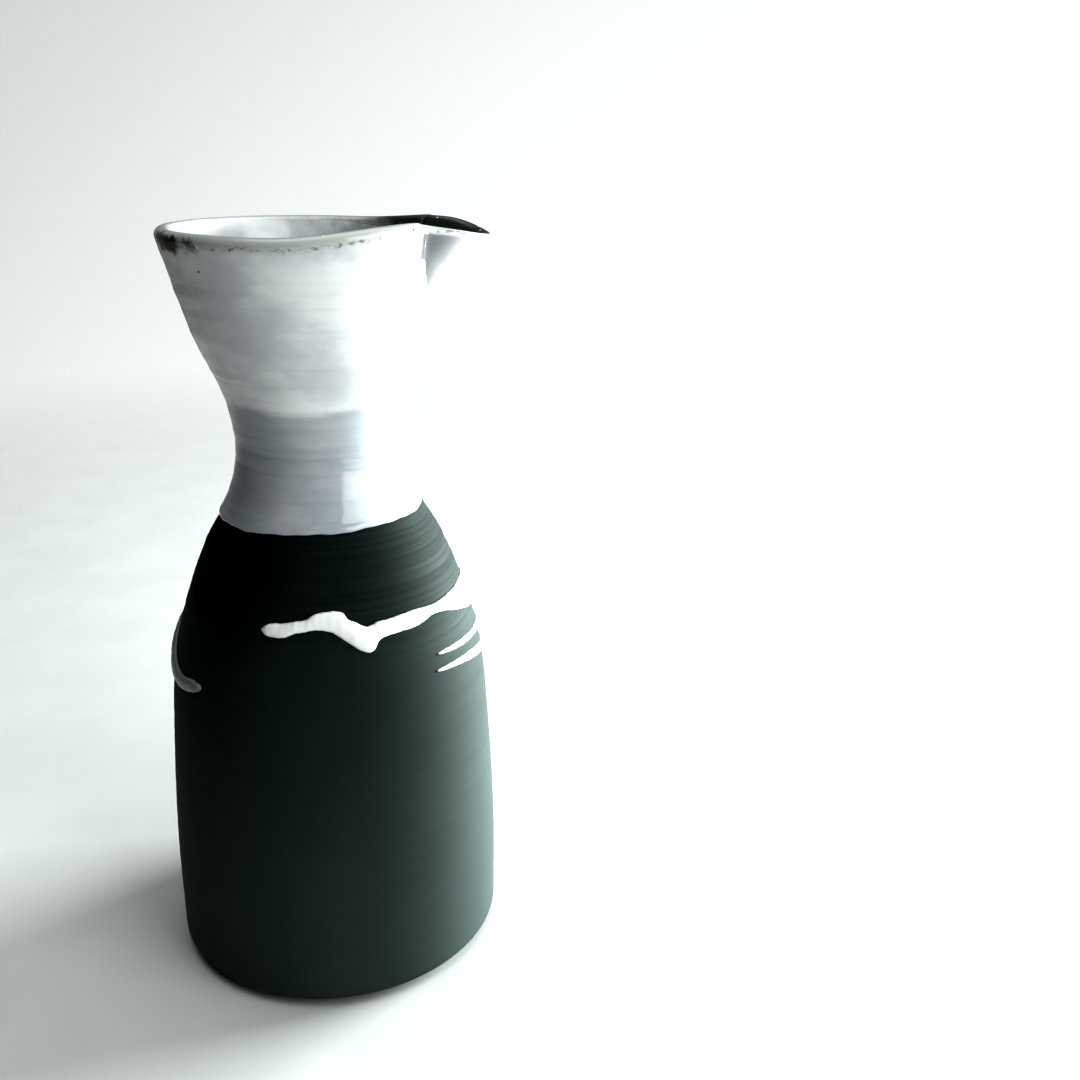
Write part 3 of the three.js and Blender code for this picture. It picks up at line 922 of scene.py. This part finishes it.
def pale_table():
    """A matt, nearly even grey that turns clear away from the bottle."""
    material, tree, coords = new_material("pale_table")
    from_bottle = node(tree, "ShaderNodeVectorMath", {0: coords}, operation="LENGTH").outputs["Value"]
    faded = ramp(tree, from_bottle, TABLE_FADE_START, TABLE_FADE_END, 0, 1)
    paper = noise(tree, coords, 30, 3.0)
    colour = mixed(tree, noise_ramp(tree, paper, 0, 1), TABLE_GREY, TABLE_PALE)
    matt = node(tree, "ShaderNodeBsdfDiffuse", {"Color": colour}).outputs[0]
    clear = node(tree, "ShaderNodeBsdfTransparent").outputs[0]
    finish_material(tree, node(tree, "ShaderNodeMixShader", {0: faded, 1: matt, 2: clear}))
    return material


def make_floor():
    """A pale table top that fades into the pale surroundings."""
    turn = np.linspace(0, 2 * math.pi, TABLE_COLUMNS, endpoint=False)
    reach = np.linspace(TABLE_FIRST_RING, TABLE_RADIUS, TABLE_RINGS)[:, None]
    rows = np.stack([reach * np.cos(turn), reach * np.sin(turn), 0 * reach * turn], -1) / MM
    floor = skin("table_top", rows, open_end=True)
    floor.data.materials.append(pale_table())


def towards(azimuth, elevation):
    turn, rise = math.radians(azimuth), math.radians(elevation)
    return Vector((math.cos(turn) * math.cos(rise), math.sin(turn) * math.cos(rise), math.sin(rise)))


def make_window(name, azimuth, elevation, width, height, radiance):
    """A soft rectangular light that faces the bottle's neck."""
    away = towards(azimuth, elevation)
    lamp = bpy.data.lights.new(name, "AREA")
    lamp.shape = "RECTANGLE"
    lamp.size = width
    lamp.size_y = height
    lamp.color = WINDOW_COLOUR
    lamp.energy = radiance * width * height * math.pi
    light = bpy.data.objects.new(name, lamp)
    light.location = WINDOW_AIM + away * WINDOW_DISTANCE
    light.rotation_euler = away.to_track_quat("Z", "Y").to_euler()
    bpy.context.scene.collection.objects.link(light)


def glow(tree, direction, middle, squareness, strength):
    """A soft patch of light in the surroundings, by how squarely a direction looks at its middle."""
    inputs = {0: direction, 1: towards(*middle)}
    squarely = node(tree, "ShaderNodeVectorMath", inputs, operation="DOT_PRODUCT").outputs["Value"]
    return ramp(tree, squarely, *squareness, *strength)


def make_room():
    """Soft light from the room for the bottle, and a plain pale backdrop for the camera."""
    world = bpy.data.worlds.new("room")
    bpy.context.scene.world = world
    world.use_nodes = True
    tree = world.node_tree
    tree.nodes.clear()
    direction = node(tree, "ShaderNodeTexCoord").outputs["Generated"]
    strength = 0.0
    for patch in ROOM_GLOWS.values():
        strength = math_node(tree, "ADD", glow(tree, direction, *patch), strength)
    room = node(tree, "ShaderNodeBackground", {"Color": ROOM_COLOUR, "Strength": strength}).outputs[0]
    shade = glow(tree, direction, *BACKDROP_GLOW)
    backdrop = node(tree, "ShaderNodeBackground", {"Color": BACKDROP_COLOUR, "Strength": shade}).outputs[0]
    seen = node(tree, "ShaderNodeLightPath").outputs["Is Camera Ray"]
    surface = node(tree, "ShaderNodeMixShader", {0: seen, 1: room, 2: backdrop})
    node(tree, "ShaderNodeOutputWorld", {"Surface": surface.outputs[0]})


def set_view():
    """A contrasty print: deep shadows and a bright, nearly white surround."""
    view = bpy.context.scene.view_settings
    view.view_transform = "Standard"
    view.gamma = VIEW_GAMMA
    view.use_curve_mapping = True
    view.curve_mapping.black_level = (BLACK_LEVEL, BLACK_LEVEL, BLACK_LEVEL)
    view.curve_mapping.update()


# ============================================================== build ====


def place(piece, material, replaced):
    piece.data.materials.append(material)
    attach(piece, "root")
    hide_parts(replaced)


make_camera()
for window, settings in WINDOWS.items():
    make_window(window, *settings)
make_room()
set_view()
make_floor()
place(make_clay_body(), dark_stoneware(), "clay_body")
place(make_neck_glaze(), white_glaze("neck_glaze", True), "neck_glaze")
place(make_liner_glaze(), white_glaze("liner_glaze", False), "liner_glaze")
slip = white_slip()
for trail, stations in SLIP_TRAILS.items():
    place(make_slip_trail(trail, stations), slip, trail)
